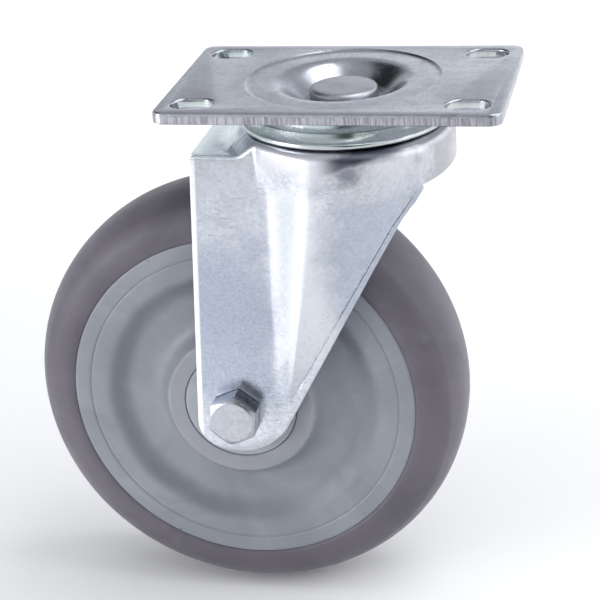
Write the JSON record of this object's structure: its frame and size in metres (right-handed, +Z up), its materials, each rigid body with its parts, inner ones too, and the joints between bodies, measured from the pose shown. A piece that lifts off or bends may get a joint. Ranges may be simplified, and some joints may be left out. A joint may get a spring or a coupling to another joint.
{
  "type": "swivel plate castor",
  "caption": "Swivel castor for gates and furniture: slotted mounting plate, double ball swivel head, pressed trailing fork and a soft-tread wheel on ball bearings.",
  "frame": {"origin": "on the kingpin's axis, in the plane of the plate's mounting face", "axes": "+Z up out of the mounting face; +Y along the wheel's axle; the wheel trails towards -X"},
  "size_m": [0.1414, 0.0622, 0.1556],
  "materials": {
    "zinc_plate": "zinc plated, satin",
    "zinc_fork": "blue-passivated zinc plate, satin",
    "zinc_ring": "zinc plated, semi-bright",
    "zinc_bolt": "zinc plated, satin",
    "rivet_steel": "zinc plated, pressed",
    "sleeve_steel": "turned",
    "bearing_steel": "polished",
    "cage_brass": "pressed",
    "core_plastic": "moulded, satin",
    "cap_plastic": "moulded, satin",
    "tread_rubber": "soft non-marking rubber, matt"
  },
  "bodies": {
    "plate": {"top_plate": "zinc_plate", "kingpin": "rivet_steel", "race_ring": "zinc_ring", "lower_race": "zinc_ring"},
    "upper_ball_row": {"upper_ball_01": "bearing_steel", "upper_ball_02": "bearing_steel", "upper_ball_03": "bearing_steel", "upper_ball_04": "bearing_steel", "upper_ball_05": "bearing_steel", "upper_ball_06": "bearing_steel", "upper_ball_07": "bearing_steel", "upper_ball_08": "bearing_steel", "upper_ball_09": "bearing_steel", "upper_ball_10": "bearing_steel", "upper_ball_11": "bearing_steel", "upper_ball_12": "bearing_steel", "upper_ball_13": "bearing_steel", "upper_ball_14": "bearing_steel", "upper_ball_15": "bearing_steel", "upper_ball_16": "bearing_steel"},
    "lower_ball_row": {"lower_ball_01": "bearing_steel", "lower_ball_02": "bearing_steel", "lower_ball_03": "bearing_steel", "lower_ball_04": "bearing_steel", "lower_ball_05": "bearing_steel", "lower_ball_06": "bearing_steel", "lower_ball_07": "bearing_steel", "lower_ball_08": "bearing_steel", "lower_ball_09": "bearing_steel", "lower_ball_10": "bearing_steel"},
    "fork": {"fork": "zinc_fork", "axle_bolt": "zinc_bolt", "axle_nut": "zinc_bolt", "axle_sleeve": "sleeve_steel", "bearing_inner_near": "bearing_steel", "bearing_inner_far": "bearing_steel"},
    "wheel": {"wheel_core": "core_plastic", "tyre": "tread_rubber", "dust_cap_near": "cap_plastic", "dust_cap_far": "cap_plastic", "bearing_outer_near": "bearing_steel", "bearing_outer_far": "bearing_steel"},
    "near_bearing_balls": {"bearing_cage_near": "cage_brass", "bearing_ball_near_1": "bearing_steel", "bearing_ball_near_2": "bearing_steel", "bearing_ball_near_3": "bearing_steel", "bearing_ball_near_4": "bearing_steel", "bearing_ball_near_5": "bearing_steel", "bearing_ball_near_6": "bearing_steel", "bearing_ball_near_7": "bearing_steel"},
    "far_bearing_balls": {"bearing_cage_far": "cage_brass", "bearing_ball_far_1": "bearing_steel", "bearing_ball_far_2": "bearing_steel", "bearing_ball_far_3": "bearing_steel", "bearing_ball_far_4": "bearing_steel", "bearing_ball_far_5": "bearing_steel", "bearing_ball_far_6": "bearing_steel", "bearing_ball_far_7": "bearing_steel"}
  },
  "joints": [
    {"name": "swivel", "type": "hinge", "parent": "plate", "child": "fork", "pos_m": [0, 0, 0], "axis": [0, 0, 1], "continuous": true},
    {"name": "upper_row_roll", "type": "hinge", "parent": "plate", "child": "upper_ball_row", "pos_m": [0, 0, 0], "axis": [0, 0, 1], "continuous": true},
    {"name": "lower_row_roll", "type": "hinge", "parent": "plate", "child": "lower_ball_row", "pos_m": [0, 0, 0], "axis": [0, 0, 1], "continuous": true},
    {"name": "wheel_spin", "type": "hinge", "parent": "fork", "child": "wheel", "pos_m": [-0.03175, 0, -0.0921], "axis": [0, 1, 0], "continuous": true},
    {"name": "near_bearing_roll", "type": "hinge", "parent": "fork", "child": "near_bearing_balls", "pos_m": [-0.03175, 0, -0.0921], "axis": [0, 1, 0], "continuous": true},
    {"name": "far_bearing_roll", "type": "hinge", "parent": "fork", "child": "far_bearing_balls", "pos_m": [-0.03175, 0, -0.0921], "axis": [0, 1, 0], "continuous": true}
  ],
  "couplings": [
    {"joint": "upper_row_roll", "follows": "swivel", "ratio": 0.5},
    {"joint": "lower_row_roll", "follows": "swivel", "ratio": 0.5},
    {"joint": "near_bearing_roll", "follows": "wheel_spin", "ratio": 0.619},
    {"joint": "far_bearing_roll", "follows": "wheel_spin", "ratio": 0.619}
  ]
}
